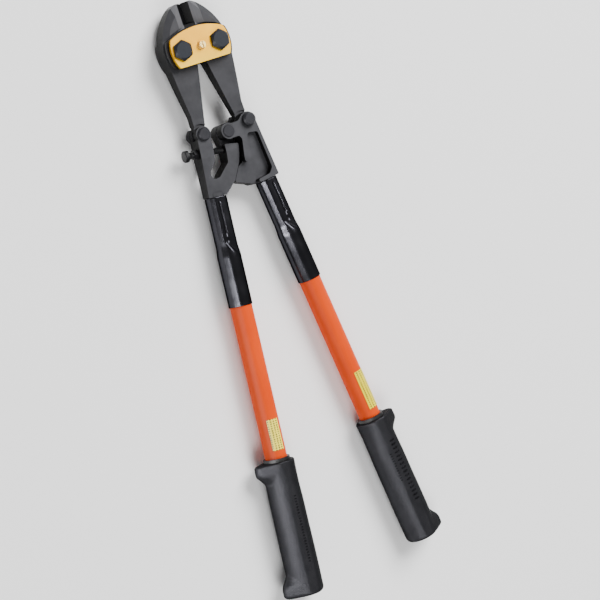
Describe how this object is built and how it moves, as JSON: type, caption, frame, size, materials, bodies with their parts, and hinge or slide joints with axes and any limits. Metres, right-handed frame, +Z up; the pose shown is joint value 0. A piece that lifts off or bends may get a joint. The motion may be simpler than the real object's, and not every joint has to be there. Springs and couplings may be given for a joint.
{
  "type": "bolt cutter",
  "caption": "Centre-cut bolt cutter with compound leverage: two forged jaws between bolted head plates, two toggled handle heads and long fibreglass handles with flared rubber grips.",
  "frame": {"origin": "centre of the footprint, on the surface the tool lies on", "axes": "+Y along the tool towards the blade tips, +Z up, out of the front face, +X to the right seen from the front with the blades up"},
  "size_m": [0.2054, 0.617, 0.039],
  "materials": {
    "gold_plate": "satin",
    "forged_steel": "satin",
    "bolt_steel": "satin",
    "brass_screw": "satin",
    "black_sleeve": "gloss",
    "orange_fibreglass": "semi-gloss",
    "black_plastic": "matt",
    "grip_rubber": "matt",
    "yellow_label": "satin"
  },
  "bodies": {
    "head_plates": {"front_plate": "gold_plate", "front_strap": "forged_steel", "rear_plate": "forged_steel", "thrust_washers": "bolt_steel", "jaw_bolt_left": "bolt_steel", "jaw_bolt_right": "bolt_steel", "jaw_nut_left": "bolt_steel", "jaw_nut_right": "bolt_steel", "centre_screw": "brass_screw", "centre_spacer": "bolt_steel", "centre_screw_nut": "bolt_steel"},
    "jaw_left_body": {"jaw_left": "forged_steel"},
    "jaw_right_body": {"jaw_right": "forged_steel"},
    "handle_left_body": {"head_left": "forged_steel", "toggle_bolt_left": "bolt_steel", "toggle_nut_left": "bolt_steel", "sleeve_left": "black_sleeve", "tube_left": "orange_fibreglass", "tube_plug_left": "black_plastic", "collar_left": "black_plastic", "grip_left": "grip_rubber", "label_left": "yellow_label", "adjusting_lock_nut": "bolt_steel"},
    "screw_body": {"adjusting_screw": "bolt_steel"},
    "handle_right_body": {"head_right": "forged_steel", "toggle_bolt_right": "bolt_steel", "toggle_nut_right": "bolt_steel", "centre_pivot_bolt": "bolt_steel", "centre_pivot_nut": "bolt_steel", "sleeve_right": "black_sleeve", "tube_right": "orange_fibreglass", "tube_plug_right": "black_plastic", "collar_right": "black_plastic", "grip_right": "grip_rubber", "label_right": "yellow_label"}
  },
  "joints": [
    {"name": "jaw_left_pivot", "type": "hinge", "parent": "head_plates", "child": "jaw_left_body", "pos_m": [-0.0221, 0.2615, 0.0175], "axis": [0, 0, 1], "range_deg": [0, 6.2]},
    {"name": "jaw_right_pivot", "type": "hinge", "parent": "head_plates", "child": "jaw_right_body", "pos_m": [0.0221, 0.2615, 0.0175], "axis": [0, 0, -1], "range_deg": [0, 6.2]},
    {"name": "handle_left_pivot", "type": "hinge", "parent": "jaw_left_body", "child": "handle_left_body", "pos_m": [-0.0255, 0.1756, 0.0175], "axis": [0, 0, -1], "range_deg": [0, 48.5]},
    {"name": "handle_right_pivot", "type": "hinge", "parent": "jaw_right_body", "child": "handle_right_body", "pos_m": [0.0255, 0.1756, 0.0175], "axis": [0, 0, 1], "range_deg": [0, 48.5]},
    {"name": "adjusting_screw_travel", "type": "slide", "parent": "handle_left_body", "child": "screw_body", "axis": [0.9925, -0.1219, 0], "range_m": [-0.003, 0.003]}
  ],
  "couplings": [
    {"joint": "jaw_left_pivot", "follows": "handle_left_pivot", "ratio": 0.1225},
    {"joint": "jaw_right_pivot", "follows": "handle_left_pivot", "ratio": 0.1225},
    {"joint": "handle_right_pivot", "follows": "handle_left_pivot", "ratio": 1}
  ]
}
